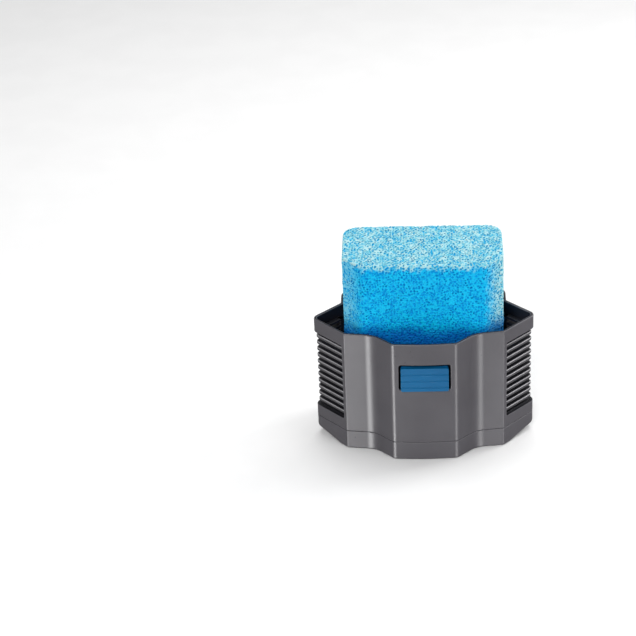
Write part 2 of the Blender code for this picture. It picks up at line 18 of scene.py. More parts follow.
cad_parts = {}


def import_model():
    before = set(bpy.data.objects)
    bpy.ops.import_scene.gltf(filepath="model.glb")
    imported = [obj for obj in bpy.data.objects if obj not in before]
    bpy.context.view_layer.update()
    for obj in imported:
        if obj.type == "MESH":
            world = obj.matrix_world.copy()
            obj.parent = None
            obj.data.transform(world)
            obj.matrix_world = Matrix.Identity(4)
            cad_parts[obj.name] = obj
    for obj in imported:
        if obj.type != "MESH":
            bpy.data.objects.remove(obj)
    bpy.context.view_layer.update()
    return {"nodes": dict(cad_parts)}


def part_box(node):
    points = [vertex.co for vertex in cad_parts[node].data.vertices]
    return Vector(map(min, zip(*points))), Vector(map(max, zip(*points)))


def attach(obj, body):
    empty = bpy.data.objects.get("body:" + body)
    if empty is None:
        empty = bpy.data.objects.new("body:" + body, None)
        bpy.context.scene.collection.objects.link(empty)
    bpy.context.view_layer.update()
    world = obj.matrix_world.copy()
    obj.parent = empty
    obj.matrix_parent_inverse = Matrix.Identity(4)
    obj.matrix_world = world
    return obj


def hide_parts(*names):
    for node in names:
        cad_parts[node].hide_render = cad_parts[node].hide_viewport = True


LOG = logging.getLogger("filter_module")


# --- Plan outlines --------------------------------------------------------------------------

Corner = tuple[float, float, float]


@dataclass(frozen=True)
class RoundedOutline:
    """A closed plan outline given by sharp corners, each with a radius, anticlockwise."""

    corners: tuple[Corner, ...]
    arc_step: float = math.radians(5.0)
    least_r: float = 0.0003

    def place(self, index: int) -> Vector:
        """Return one sharp corner's place, counting round the outline."""
        x, y, _ = self.corners[index % len(self.corners)]
        return Vector((x, y))

    def points(self, inset: float = 0.0) -> list[Vector]:
        """Return the rounded outline moved inward.

        Args:
            inset: Distance from the outline, toward its middle.

        Returns:
            The points, anticlockwise, with the same count at every inset.
        """
        count = len(self.corners)
        moved = [shifted_corner(self.place(i - 1), self.place(i), self.place(i + 1), inset)
                 for i in range(count)]
        found: list[Vector] = []
        for i in range(count):
            bend = turn_at(self.place(i - 1), self.place(i), self.place(i + 1))
            radius = max(self.corners[i][2] - math.copysign(inset, bend), self.least_r)
            found += corner_arc(moved[i - 1], moved[i], moved[(i + 1) % count], radius, self.arc_step)
        return found


def turn_at(before: Vector, here: Vector, after: Vector) -> float:
    """Return the signed turning angle of a path at a corner."""
    a, b = here - before, after - here
    return math.atan2(a.x * b.y - a.y * b.x, a.dot(b))


def shifted_corner(before: Vector, here: Vector, after: Vector, inset: float) -> Vector:
    """Return a corner moved so that both of its edges shift to their left by an inset."""
    a, b = (here - before).normalized(), (after - here).normalized()
    left = Vector((-a.y, a.x))
    middle = (left + Vector((-b.y, b.x))).normalized()
    return here + middle * (inset / middle.dot(left))


def corner_arc(before: Vector, here: Vector, after: Vector, radius: float, step: float) -> list[Vector]:
    """Return the arc that rounds a corner.

    Args:
        before: The corner before it.
        here: The sharp corner.
        after: The corner after it.
        radius: The wanted radius, made smaller where the edges are short.
        step: The largest angle between points.

    Returns:
        The points of the arc in order.
    """
    angle = turn_at(before, here, after)
    half_tan = math.tan(abs(angle) / 2)
    room = 0.49 * min((here - before).length, (after - here).length)
    reach = min(radius * half_tan, room)
    along = (here - before).normalized()
    start = here - along * reach
    centre = start + Vector((-along.y, along.x)) * math.copysign(reach / half_tan, angle)
    steps = max(3, math.ceil(abs(angle) / step - 0.01))
    return [centre + Matrix.Rotation(angle * k / steps, 2) @ (start - centre) for k in range(steps + 1)]


def both_sides(half: list[Corner]) -> tuple[Corner, ...]:
    """Return the corners of a symmetrical outline from its right half, front to rear."""
    return tuple(half + [(-x, y, r) for x, y, r in reversed(half) if x > 0])


@dataclass(frozen=True)
class HousingPlan:
    """Plan sizes shared by the housing, the tray and the louvres.

    Plan places are measured from the front line, which runs through the two front corners.
    """

    width: float = 0.1300
    front_width: float = 0.0914
    pod_depth: float = 0.0200
    bulge: float = 0.0142
    crest_half: float = 0.0185
    crown: float = 0.0012
    flute_half: float = 0.0295
    flute_rise: float = 0.0022
    waist_half: float = 0.0481
    waist_y: float = 0.0369
    rear: float = 0.0537
    wall: float = 0.0018
    fit: float = 0.0003
    crown_r: float = 0.120
    crest_r: float = 0.0050
    flute_r: float = 0.0140
    front_corner_r: float = 0.0012
    outer_corner_r: float = 0.0045
    waist_r: float = 0.0020
    rear_r: float = 0.0121

    def outline(self) -> RoundedOutline:
        """Return the housing's outer outline."""
        return RoundedOutline(both_sides([
            (0.0, -self.bulge, self.crown_r),
            (self.crest_half, -self.bulge + self.crown, self.crest_r),
            (self.flute_half, -self.flute_rise, self.flute_r),
            (self.front_width / 2, 0.0, self.front_corner_r),
            (self.width / 2, self.pod_depth, self.outer_corner_r),
            (self.waist_half, self.waist_y, self.waist_r),
            (self.waist_half, self.rear, self.rear_r),
        ]))

    def pod_path(self, inset: float, front_trim: float, rear_trim: float) -> list[Vector]:
        """Return the line along the right pod's two walls.

        Args:
            inset: Distance from the outer face.
            front_trim: Length left off beside the front corner.
            rear_trim: Length left off beside the waist.

        Returns:
            The points from front to rear, with the same count at every inset.
        """
        front = Vector((self.front_width / 2, 0.0))
        tip = Vector((self.width / 2, self.pod_depth))
        waist = Vector((self.waist_half, self.waist_y))
        along, back = (tip - front).normalized(), (waist - tip).normalized()
        start = front + along * front_trim + Vector((-along.y, along.x)) * inset
        end = waist - back * rear_trim + Vector((-back.y, back.x)) * inset
        corner = shifted_corner(front, tip, waist, inset)
        radius = max(self.outer_corner_r - inset, 0.0003)
        return [start, *corner_arc(start, corner, end, radius, math.radians(7.0)), end]


PLAN = HousingPlan()


# --- Mesh helpers ---------------------------------------------------------------------------

def to_object(bm: bmesh.types.BMesh, name: str, crease: float = 38.0) -> bpy.types.Object:
    """Turn a bmesh into an object at the origin.

    Args:
        bm: The finished bmesh, which is freed.
        name: The piece's name.
        crease: Angle in degrees past which an edge stays sharp.

    Returns:
        The new object, linked to the scene.
    """
    mesh = bpy.data.meshes.new(name)
    bm.to_mesh(mesh)
    bm.free()
    mesh.shade_smooth()
    mesh.set_sharp_from_angle(angle=math.radians(crease))
    made = bpy.data.objects.new(name, mesh)
    bpy.context.scene.collection.objects.link(made)
    return made


def grow_loop(bm: bmesh.types.BMesh, verts: list[bmesh.types.BMVert],
              points: list[Vector]) -> list[bmesh.types.BMVert]:
    """Extrude a closed loop to new places.

    Args:
        bm: The bmesh to add to.
        verts: The loop's vertices in order.
        points: The new place of each vertex.

    Returns:
        The new loop's vertices in the same order.
    """
    pairs = zip(verts, verts[1:] + verts[:1])
    edges = [bm.edges.get(pair) for pair in pairs]
    made = bmesh.ops.extrude_edge_only(bm, edges=edges)["geom"]
    fresh = {v for v in made if isinstance(v, bmesh.types.BMVert)}
    grown = [next(e.other_vert(v) for e in v.link_edges if e.other_vert(v) in fresh) for v in verts]
    for vert, point in zip(grown, points):
        vert.co = point
    return grown


def loft(bm: bmesh.types.BMesh, rings: list[list[Vector]], closed: bool = False) -> None:
    """Skin a solid through rings of points.

    Args:
        bm: The bmesh to add to.
        rings: The rings in order, each with the same count of points.
        closed: Whether the last ring joins the first; otherwise both ends are filled.
    """
    first = [bm.verts.new(p) for p in rings[0]]
    start = [bm.edges.new(pair) for pair in zip(first, first[1:] + first[:1])]
    last = first
    for ring in rings[1:] + (rings[:1] if closed else []):
        last = grow_loop(bm, last, ring)
    if closed:
        bmesh.ops.remove_doubles(bm, verts=first + last, dist=1e-7)
    else:
        end = [bm.edges.get(pair) for pair in zip(last, last[1:] + last[:1])]
        for ring_edges in (start, end):
            bmesh.ops.edgeloop_fill(bm, edges=ring_edges)
    bmesh.ops.recalc_face_normals(bm, faces=bm.faces)


def plan_ring(points: list[Vector], z: float, front_y: float) -> list[Vector]:
    """Return a plan outline as a ring of points at a height."""
    return [Vector((p.x, p.y + front_y, z)) for p in points]


def fillet(inset: float, z: float, radius: float, start: float, end: float,
           steps: int = 4) -> list[tuple[float, float]]:
    """Return the stations of an arc in a wall's section.

    Args:
        inset: Inset of the arc's centre.
        z: Height of the arc's centre.
        radius: The arc's radius.
        start: First angle in degrees, where 0 points inward and 90 points up.
        end: Last angle in degrees.
        steps: Number of steps along the arc.

    Returns:
        Inset and height of each station.
    """
    turns = [math.radians(start + (end - start) * k / steps) for k in range(steps + 1)]
    return [(inset + radius * math.cos(t), z + radius * math.sin(t)) for t in turns]


def cut(target: bpy.types.Object, cutter: bpy.types.Object, operation: str = "DIFFERENCE") -> None:
    """Apply a Boolean to a piece's mesh and remove the cutter.

    Args:
        target: The piece to change.
        cutter: The other solid, which is removed.
        operation: DIFFERENCE or UNION.
    """
    modifier = target.modifiers.new("cut", "BOOLEAN")
    modifier.operation = operation
    modifier.solver = "EXACT"
    modifier.object = cutter
    depsgraph = bpy.context.evaluated_depsgraph_get()
    mesh = bpy.data.meshes.new_from_object(target.evaluated_get(depsgraph))
    target.modifiers.clear()
    old, target.data = target.data, mesh
    bpy.data.meshes.remove(old)
    bpy.data.objects.remove(cutter, do_unlink=True)


def soften(piece: bpy.types.Object, width: float, segments: int = 2, angle: float = 42.0) -> None:
    """Round a piece's sharp edges.

    Args:
        piece: The piece to round.
        width: Width of the rounding.
        segments: Number of steps across it.
        angle: Angle in degrees past which an edge is rounded.
    """
    bevel = piece.modifiers.new("soft_edges", "BEVEL")
    bevel.width = width
    bevel.segments = segments
    bevel.limit_method = "ANGLE"
    bevel.angle_limit = math.radians(angle)
    bevel.use_clamp_overlap = True
    normals = piece.modifiers.new("even_shading", "WEIGHTED_NORMAL")
    normals.keep_sharp = False


def line_distance(ring: np.ndarray, x: np.ndarray, y: np.ndarray) -> np.ndarray:
    """Return the distance from places in plan to a closed line."""
    nearest = np.full(x.shape, np.inf)
    for a, b in zip(ring, np.roll(ring, -1, axis=0)):
        edge = b - a
        along = np.clip(((x - a[0]) * edge[0] + (y - a[1]) * edge[1]) / (edge @ edge), 0.0, 1.0)
        nearest = np.minimum(nearest, np.hypot(x - a[0] - along * edge[0], y - a[1] - along * edge[1]))
    return nearest


def join_flat_faces(piece: bpy.types.Object, angle: float = 0.4) -> None:
    """Join the slivers that cutting leaves in a piece's flat faces.

    Args:
        piece: The piece to clean.
        angle: Angle in degrees below which neighbouring faces are one.
    """
    bm = bmesh.new()
    bm.from_mesh(piece.data)
    bmesh.ops.remove_doubles(bm, verts=bm.verts, dist=2e-6)
    bmesh.ops.dissolve_limit(bm, angle_limit=math.radians(angle), verts=bm.verts, edges=bm.edges)
    bm.to_mesh(piece.data)
    bm.free()


def ease(values: np.ndarray, low: float, high: float) -> np.ndarray:
    """Return a smooth rise from 0 at the low value to 1 at the high value."""
    t = np.clip((values - low) / (high - low), 0.0, 1.0)
    return t * t * (3.0 - 2.0 * t)


def mirrored_copy(piece: bpy.types.Object, name: str) -> bpy.types.Object:
    """Return a copy of a piece reflected to the other side."""
    bm = bmesh.new()
    bm.from_mesh(piece.data)
    bmesh.ops.transform(bm, matrix=Matrix.Diagonal((-1.0, 1.0, 1.0, 1.0)), verts=bm.verts)
    bmesh.ops.recalc_face_normals(bm, faces=bm.faces)
    return to_object(bm, name)


# --- Finishes -------------------------------------------------------------------------------

class Grain(Enum):
    """Fineness of a moulded surface's grain, in cells per metre."""

    FINE = 2600.0
    COARSE = 1700.0


def new_group(name: str, inputs: dict[str, float], outputs: list[str]) -> bpy.types.NodeTree:
    """Return a shader node group.

    Args:
        name: The group's name.
        inputs: Default value of each float input.
        outputs: Name of each float output.

    Returns:
        The group, with its input and output nodes in place.
    """
    tree = bpy.data.node_groups.new(name, "ShaderNodeTree")
    for label, value in inputs.items():
        socket = tree.interface.new_socket(name=label, in_out="INPUT", socket_type="NodeSocketFloat")
        socket.default_value = value
    for label in outputs:
        tree.interface.new_socket(name=label, in_out="OUTPUT", socket_type="NodeSocketFloat")
    tree.nodes.new("NodeGroupInput").name = "in"
    tree.nodes.new("NodeGroupOutput").name = "out"
    return tree


def noise(tree: bpy.types.NodeTree, scale: float, detail: float, rough: float = 0.5) -> bpy.types.Node:
    """Add a noise texture read in object coordinates, and return it."""
    place = tree.nodes.get("place")
    if place is None:
        place = tree.nodes.new("ShaderNodeTexCoord")
        place.name = "place"
    node = tree.nodes.new("ShaderNodeTexNoise")
    node.inputs["Scale"].default_value = scale
    node.inputs["Detail"].default_value = detail
    node.inputs["Roughness"].default_value = rough
    tree.links.new(place.outputs["Object"], node.inputs["Vector"])
    return node


def scaled(tree: bpy.types.NodeTree, value: bpy.types.NodeSocket, factor: float,
           offset: float | bpy.types.NodeSocket) -> bpy.types.NodeSocket:
    """Add a node that multiplies a value by a factor and adds an offset, and return its output."""
    node = tree.nodes.new("ShaderNodeMath")
    node.operation = "MULTIPLY_ADD"
    tree.links.new(value, node.inputs[0])
    node.inputs[1].default_value = factor
    if isinstance(offset, bpy.types.NodeSocket):
        tree.links.new(offset, node.inputs[2])
    else:
        node.inputs[2].default_value = offset
    return node.outputs[0]


def spread(tree: bpy.types.NodeTree, value: bpy.types.NodeSocket, low: float,
           high: float) -> bpy.types.NodeSocket:
    """Add a node that stretches the range from low to high over 0 to 1, and return its output."""
    node = tree.nodes.new("ShaderNodeMapRange")
    node.inputs["From Min"].default_value = low
    node.inputs["From Max"].default_value = high
    tree.links.new(value, node.inputs["Value"])
    return node.outputs["Result"]


def ramp(tree: bpy.types.NodeTree, value: bpy.types.NodeSocket,
         stops: list[tuple[float, tuple[float, float, float]]]) -> bpy.types.NodeSocket:
    """Add a colour ramp over a value, and return its colour."""
    node = tree.nodes.new("ShaderNodeValToRGB")
    elements = node.color_ramp.elements
    while len(elements) < len(stops):
        elements.new(0.5)
    for element, (position, colour) in zip(elements, stops):
        element.position = position
        element.color = (*colour, 1.0)
    tree.links.new(value, node.inputs["Fac"])
    return node.outputs["Color"]


def blended(tree: bpy.types.NodeTree, mode: str, factor: float | bpy.types.NodeSocket,
            first: bpy.types.NodeSocket | tuple[float, float, float],
            second: bpy.types.NodeSocket | tuple[float, float, float]) -> bpy.types.NodeSocket:
    """Add a colour mix, and return its colour."""
    node = tree.nodes.new("ShaderNodeMix")
    node.data_type = "RGBA"
    node.blend_type = mode
    for name, value in (("Factor", factor), ("A", first), ("B", second)):
        socket = next(s for s in node.inputs if s.name == name and s.enabled)
        if isinstance(value, bpy.types.NodeSocket):
            tree.links.new(value, socket)
        else:
            socket.default_value = value if isinstance(value, float) else (*value, 1.0)
    return next(s for s in node.outputs if s.enabled)


def moulded_surface_group() -> bpy.types.NodeTree:
    """Return the group with a moulded surface's grain, flow marks, handled patches and an edge mask that pales
    edges, partly as wear and partly as a painted highlight.
    """
    name = "moulded_surface"
    if name in bpy.data.node_groups:
        return bpy.data.node_groups[name]
    tree = new_group(name, {"Grain Scale": Grain.FINE.value, "Edge Width": 0.0005},
                     ["Height", "Mottle", "Rub", "Edge"])
    source, out = tree.nodes["in"], tree.nodes["out"]
    grain = noise(tree, 1.0, 2.0, 0.6)
    tree.links.new(source.outputs["Grain Scale"], grain.inputs["Scale"])
    flow = noise(tree, 38.0, 3.0, 0.55)
    handled = noise(tree, 170.0, 5.0, 0.7)
    bevel = tree.nodes.new("ShaderNodeBevel")
    bevel.samples = 4
    tree.links.new(source.outputs["Edge Width"], bevel.inputs["Radius"])
    flat = tree.nodes.new("ShaderNodeNewGeometry")
    agreement = tree.nodes.new("ShaderNodeVectorMath")
    agreement.operation = "DOT_PRODUCT"
    tree.links.new(bevel.outputs["Normal"], agreement.inputs[0])
    tree.links.new(flat.outputs["Normal"], agreement.inputs[1])
    edge = spread(tree, agreement.outputs["Value"], 0.995, 0.86)
    tree.links.new(grain.outputs["Fac"], out.inputs["Height"])
    tree.links.new(flow.outputs["Fac"], out.inputs["Mottle"])
    tree.links.new(spread(tree, handled.outputs["Fac"], 0.55, 0.72), out.inputs["Rub"])
    tree.links.new(edge, out.inputs["Edge"])
    return tree


def fresh_material(name: str) -> tuple[bpy.types.Material, bpy.types.NodeTree, bpy.types.Node]:
    """Return a new material with its tree and its Principled shader."""
    made = bpy.data.materials.new(name)
    made.use_nodes = True
    return made, made.node_tree, made.node_tree.nodes["Principled BSDF"]


@dataclass(frozen=True)
class MouldedPlastic:
    """A moulded plastic with an eroded grain, faint flow marks, handled patches and paler edges, partly wear
    and partly a painted highlight.
    """

    name: str
    colour: tuple[float, float, float]
    pale: tuple[float, float, float]
    worn_and_highlight: tuple[float, float, float]
    roughness: float
    grain: Grain = Grain.FINE
    grain_depth: float = 0.10
    specular: float = 0.5

    def build(self) -> bpy.types.Material:
        """Return the finish as a material, made once."""
        if self.name in bpy.data.materials:
            return bpy.data.materials[self.name]
        made, tree, shader = fresh_material(self.name)
        group = tree.nodes.new("ShaderNodeGroup")
        group.node_tree = moulded_surface_group()
        group.inputs["Grain Scale"].default_value = self.grain.value
        base = ramp(tree, group.outputs["Mottle"], [(0.35, self.colour), (0.70, self.pale)])
        # Paler edges: partly wear, partly a painted highlight.
        wear_and_highlight = scaled(tree, group.outputs["Edge"], 0.6, 0.0)
        tree.links.new(blended(tree, "MIX", wear_and_highlight, base, self.worn_and_highlight), shader.inputs["Base Color"])
        rough = scaled(tree, group.outputs["Mottle"], 0.08, self.roughness - 0.04)
        tree.links.new(scaled(tree, group.outputs["Rub"], -0.05, rough), shader.inputs["Roughness"])
        bump = tree.nodes.new("ShaderNodeBump")
        bump.inputs["Strength"].default_value = self.grain_depth
        bump.inputs["Distance"].default_value = 0.0001
        tree.links.new(group.outputs["Height"], bump.inputs["Height"])
        tree.links.new(bump.outputs["Normal"], shader.inputs["Normal"])
        shader.inputs["Specular IOR Level"].default_value = self.specular
        return made


@dataclass(frozen=True)
class Steel:
    """Bright drawn stainless steel with fine lines along it."""

    name: str = "stainless_steel"
    bright: tuple[float, float, float] = (0.58, 0.58, 0.59)
    dull: tuple[float, float, float] = (0.42, 0.42, 0.44)

    def build(self) -> bpy.types.Material:
        """Return the finish as a material, made once."""
        if self.name in bpy.data.materials:
            return bpy.data.materials[self.name]
        made, tree, shader = fresh_material(self.name)
        lines = noise(tree, 1400.0, 3.0, 0.6)
        tree.links.new(ramp(tree, lines.outputs["Fac"], [(0.35, self.dull), (0.65, self.bright)]),
                       shader.inputs["Base Color"])
        tree.links.new(scaled(tree, lines.outputs["Fac"], 0.18, 0.16), shader.inputs["Roughness"])
        shader.inputs["Metallic"].default_value = 1.0
        return made


@dataclass(frozen=True)
class OpenCellFoam:
    """Coarse open-cell foam: blue strands that darken with depth into the pores as painted shade,
    paler on the top and the two side strips as painted light, darker toward the foot as painted shade.

    The mesh carries three attributes: the depth below the skin, how much painted light pales a place, and
    how much painted shade darkens it toward its foot.
    """

    name: str = "blue_filter_foam"
    # From tips to deep: darker with depth into the pores, a painted shade.
    tips: tuple[float, float, float] = (0.002, 0.46, 0.76)
    strand: tuple[float, float, float] = (0.001, 0.42, 0.73)
    pore: tuple[float, float, float] = (0.001, 0.34, 0.68)
    deep: tuple[float, float, float] = (0.001, 0.26, 0.62)
    # Paler colours for the painted light on the top and the side strips.
    lit_tips: tuple[float, float, float] = (0.40, 0.63, 0.66)
    lit_strand: tuple[float, float, float] = (0.22, 0.54, 0.62)
    lit_pore: tuple[float, float, float] = (0.060, 0.42, 0.60)
    # Colour of the painted shade at the foot.
    foot_shade: tuple[float, float, float] = (0.30, 0.36, 0.68)

    def attribute(self, tree: bpy.types.NodeTree, name: str) -> bpy.types.NodeSocket:
        """Return the value of one of the mesh's attributes."""
        node = tree.nodes.new("ShaderNodeAttribute")
        node.attribute_name = name
        return node.outputs["Fac"]

    def build(self) -> bpy.types.Material:
        """Return the finish as a material."""
        made, tree, shader = fresh_material(self.name)
        # Darker with depth below the skin, a painted shade in the pores.
        depth = self.attribute(tree, "pore_depth")
        plain = ramp(tree, depth, [(0.02, self.tips), (0.15, self.strand), (0.50, self.pore), (1.0, self.deep)])
        # Painted light: paler colours on the top and the two side strips.
        pale = ramp(tree, depth, [(0.03, self.lit_tips), (0.22, self.lit_strand), (0.55, self.lit_pore),
                                  (1.0, self.pore)])
        colour = blended(tree, "MIX", self.attribute(tree, "painted_light"), plain, pale)
        cloud = noise(tree, 60.0, 3.0, 0.6)
        shade = ramp(tree, cloud.outputs["Fac"], [(0.3, (0.86, 0.92, 0.95)), (0.7, (1.0, 1.0, 1.0))])
        colour = blended(tree, "MULTIPLY", 0.6, colour, shade)
        # Painted shade: darker toward the foot.
        colour = blended(tree, "MULTIPLY", self.attribute(tree, "painted_foot_shade"), colour, self.foot_shade)
        tree.links.new(colour, shader.inputs["Base Color"])
        tree.links.new(scaled(tree, depth, 0.25, 0.50), shader.inputs["Roughness"])
        shader.inputs["Specular IOR Level"].default_value = 0.06
        return made


HOUSING_FINISH = MouldedPlastic("satin_grey_plastic", (0.076, 0.072, 0.082), (0.086, 0.082, 0.093),
                                (0.290, 0.280, 0.300), 0.32)
# Painted shade: a near-black finish for the housing's inner faces, the louvres' gaps and the inner parts.
INNER_SHADE_FINISH = MouldedPlastic("painted_shade_inner_plastic", (0.009, 0.009, 0.012), (0.014, 0.014, 0.018),
                              (0.120, 0.120, 0.135), 0.50, Grain.COARSE, specular=0.35)
SLAT_FINISH = MouldedPlastic("slat_nose_plastic", (0.052, 0.050, 0.057), (0.062, 0.059, 0.067),
                             (0.300, 0.290, 0.310), 0.30)
# Painted highlight: a pale finish for the upward faces of the slats' noses.
NOSE_HIGHLIGHT_FINISH = MouldedPlastic("painted_highlight_plastic", (0.300, 0.295, 0.310), (0.360, 0.355, 0.370),
                               (0.480, 0.470, 0.490), 0.28)
BUTTON_FINISH = MouldedPlastic("blue_button_plastic", (0.001, 0.092, 0.235), (0.001, 0.112, 0.275),
                               (0.010, 0.200, 0.360), 0.36, grain_depth=0.08, specular=0.25)
STEEL_FINISH = Steel()
FOAM_FINISH = OpenCellFoam()


def dress(piece: bpy.types.Object, *looks: bpy.types.Material) -> None:
    """Give a new piece its materials, in the order of its faces' indices."""
    for look in looks:
        piece.data.materials.append(look)


def hand_over(piece: bpy.types.Object, node: str, body: str) -> None:
    """Declare a new piece and report it.

    Args:
        piece: The finished piece.
        node: The node of the frame that it stands for.
        body: The body it rides on.
    """
    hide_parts(node)
    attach(piece, body)
    LOG.info("%s stands for %s on %s, %d faces", piece.name, node, body, len(piece.data.polygons))


# --- Sub-assemblies -------------------------------------------------------------------------

@dataclass
class HousingShell:
    """The thin wavy wall with its rounded rim, a window in each pod and the button's opening."""

    base_height: float = 0.0123
    height: float = 0.0770
    rim_band: float = 0.0084
    lower_band: float = 0.0072
    rim_r: float = 0.00055
    foot_r: float = 0.00030
    window_front: float = 0.0022
    window_rear: float = 0.0045
    window_r: float = 0.0010
    button_half: float = 0.01485
    button_low: float = 0.0470
    button_high: float = 0.0638
    button_r: float = 0.0015
    boss_half: float = 0.0120
    boss_z: float = 0.0388
    boss_r: float = 0.0030
    boss_end: float = -0.0019
    edge_r: float = 0.00025

    def section(self) -> list[tuple[float, float]]:
        """Return the wall's section as insets and heights, from the outer foot over the rim."""
        foot, rim, wall = self.foot_r, self.rim_r, PLAN.wall
        return (fillet(foot, self.base_height + foot, foot, 270.0, 180.0, 3)
                + fillet(rim, self.height - rim, rim, 180.0, 90.0)
                + fillet(wall - rim, self.height - rim, rim, 90.0, 0.0)
                + [(wall, self.base_height)])

    def window_cutter(self, front_y: float) -> bpy.types.Object:
        """Return the cutter for both pods' windows, rounded where a window ends on the wall."""
        low, high = self.base_height + self.lower_band, self.height - self.rim_band
        outer = PLAN.pod_path(-0.001, self.window_front, self.window_rear)
        inner = PLAN.pod_path(PLAN.wall + 0.001, self.window_front, self.window_rear)
        ends = [(outer[i] + inner[i]) / 2 for i in (0, -1)]
        bm = bmesh.new()
        for side in (1.0, -1.0):
            ring = [Vector((side * p.x, p.y)) for p in outer + inner[::-1]]
            loft(bm, [plan_ring(ring, z, front_y) for z in (low, high)])
        corners = []
        for edge in bm.edges:
            middle = (edge.verts[0].co + edge.verts[1].co) / 2
            here = Vector((abs(middle.x), middle.y - front_y))
            level = abs(edge.verts[0].co.z - edge.verts[1].co.z) < 1e-6
            if level and min((here - end).length for end in ends) < 1e-5:
                corners.append(edge)
        bmesh.ops.bevel(bm, geom=corners, offset=self.window_r, segments=4, profile=0.5, affect="EDGES",
                        material=-1)
        bmesh.ops.recalc_face_normals(bm, faces=bm.faces)
        return to_object(bm, "window_cutter")

    def button_cutter(self, front_y: float) -> bpy.types.Object:
        """Return the cutter for the button's opening, with rounded corners."""
        bm = bmesh.new()
        deep = 0.0060
        size = (2 * self.button_half, deep, self.button_high - self.button_low, 1.0)
        middle = (0.0, front_y - PLAN.bulge + PLAN.wall / 2, (self.button_low + self.button_high) / 2)
        bmesh.ops.create_cube(bm, size=1.0, matrix=Matrix.Translation(middle) @ Matrix.Diagonal(size))
        along = [e for e in bm.edges if abs(e.verts[0].co.y - e.verts[1].co.y) > deep / 2]
        bmesh.ops.bevel(bm, geom=along, offset=self.button_r, segments=6, profile=0.5, affect="EDGES",
                        material=-1)
        bmesh.ops.recalc_face_normals(bm, faces=bm.faces)
        return to_object(bm, "button_cutter")

    def bosses(self, front_y: float) -> bpy.types.Object:
        """Return the two screw bosses behind the bulge."""
        bm = bmesh.new()
        start = -PLAN.bulge + PLAN.wall * 0.6
        for side in (1.0, -1.0):
            middle = (side * self.boss_half, front_y + (start + self.boss_end) / 2, self.boss_z)
            place = Matrix.Translation(middle) @ Matrix.Rotation(math.pi / 2, 4, "X")
            bmesh.ops.create_cone(bm, cap_ends=True, segments=32, radius1=self.boss_r, radius2=self.boss_r,
                                  depth=self.boss_end - start, matrix=place)
        return to_object(bm, "boss_adder")

    def paint_inner_shade(self, shell: bpy.types.Object, front_y: float) -> None:
        """Give the faces on the wall's inner side the second material index, a near-black finish that paints
        the shade inside the housing.
        """
        ring = np.array([(p.x, p.y + front_y) for p in PLAN.outline().points(0.0)])
        middles = np.array([face.center for face in shell.data.polygons])
        deep = line_distance(ring, middles[:, 0], middles[:, 1]) > PLAN.wall - 0.0001
        shell.data.polygons.foreach_set("material_index", deep.astype(np.int32))

    def build(self, front_y: float) -> None:
        """Build the shell, dress it and hand it over."""
        bm = bmesh.new()
        outline = PLAN.outline()
        loft(bm, [plan_ring(outline.points(inset), z, front_y) for inset, z in self.section()], closed=True)
        shell = to_object(bm, "housing_wall")
        cut(shell, self.bosses(front_y), "UNION")
        cut(shell, self.window_cutter(front_y))
        cut(shell, self.button_cutter(front_y))
        join_flat_faces(shell)
        self.paint_inner_shade(shell, front_y)
        shell.data.shade_smooth()
        shell.data.set_sharp_from_angle(angle=math.radians(38.0))
        soften(shell, self.edge_r)
        dress(shell, HOUSING_FINISH.build(), INNER_SHADE_FINISH.build())
        hand_over(shell, "housing_shell", "module")


